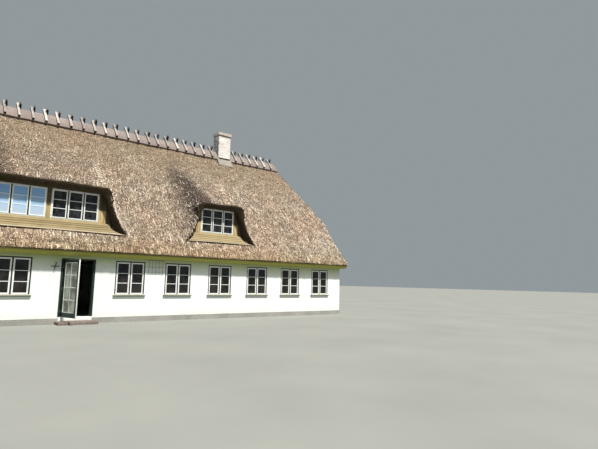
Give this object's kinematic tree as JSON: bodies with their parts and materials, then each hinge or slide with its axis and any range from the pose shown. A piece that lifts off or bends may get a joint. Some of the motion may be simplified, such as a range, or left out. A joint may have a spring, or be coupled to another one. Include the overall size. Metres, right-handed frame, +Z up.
{
  "type": "thatched farmhouse",
  "caption": "Long thatched farmhouse with half-hipped ends, swept dormers, crossed ridge timbers, brick chimneys and a glazed garden door.",
  "frame": {"origin": "on the ground at the middle of the house's plan, on the flat underside of the plinth", "axes": "+X along the ridge to the right as seen from the garden, +Y from the garden front to the back, +Z up"},
  "size_m": [29.7, 10.4052, 9.97],
  "materials": {
    "limewash": "matt white limewash on rendered brick",
    "plinth_stone": "matt grey cement render",
    "thatch": "weathered reed thatch",
    "ridge_thatch": "grey straw ridge under weathered oak riders",
    "brick": "thinly whitewashed brick",
    "mortar": "grey mortar fillet",
    "ochre_board": "ochre stained boards",
    "window_frame": "dark green frame with white casements",
    "dormer_window": "white painted casements",
    "door_frame": "dark green painted frame",
    "door_leaf": "pale painted glazed door",
    "floor_board": "boards",
    "step_brick": "brick on edge"
  },
  "bodies": {
    "house": {"plinth_and_floor": "plinth_stone", "door_step": "step_brick", "front_wall_left": "limewash", "front_wall_right": "limewash", "front_wall_over_door": "limewash", "back_wall": "limewash", "right_gable_wall": "limewash", "left_gable_wall": "limewash", "upper_floor": "floor_board", "thatch_front_left": "thatch", "thatch_front_middle": "thatch", "thatch_front_right": "thatch", "thatch_back": "thatch", "thatch_right_hip": "thatch", "thatch_left_hip": "thatch", "ridge_left": "ridge_thatch", "ridge_middle": "ridge_thatch", "ridge_right": "ridge_thatch", "right_chimney_stack": "brick", "right_chimney_cap": "brick", "right_chimney_flashing": "mortar", "left_chimney_stack": "brick", "left_chimney_cap": "brick", "left_chimney_flashing": "mortar", "long_dormer_front": "ochre_board", "long_dormer_apron": "ochre_board", "right_dormer_front": "ochre_board", "right_dormer_apron": "ochre_board", "left_dormer_front": "ochre_board", "left_dormer_apron": "ochre_board", "front_window_1": "window_frame", "front_window_2": "window_frame", "front_window_3": "window_frame", "front_window_4": "window_frame", "front_window_5": "window_frame", "front_window_6": "window_frame", "front_window_7": "window_frame", "front_window_8": "window_frame", "front_window_9": "window_frame", "front_window_10": "window_frame", "front_window_11": "window_frame", "front_window_12": "window_frame", "front_window_13": "window_frame", "back_window_1": "window_frame", "back_window_2": "window_frame", "back_window_3": "window_frame", "back_window_4": "window_frame", "back_window_5": "window_frame", "back_window_6": "window_frame", "right_gable_ground_window": "window_frame", "left_gable_ground_window": "window_frame", "right_gable_upper_window": "window_frame", "left_gable_upper_window": "window_frame", "long_dormer_window_1": "dormer_window", "long_dormer_window_2": "dormer_window", "right_dormer_window_1": "dormer_window", "left_dormer_window_1": "dormer_window", "door_frame": "door_frame"},
    "door_leaf": {"door_leaf": "door_leaf"}
  },
  "joints": [
    {"name": "door_hinge", "type": "hinge", "parent": "house", "child": "door_leaf", "pos_m": [0.584, -4.512, 1.24], "axis": [0, 0, 1], "range_deg": [-24, 76]}
  ]
}
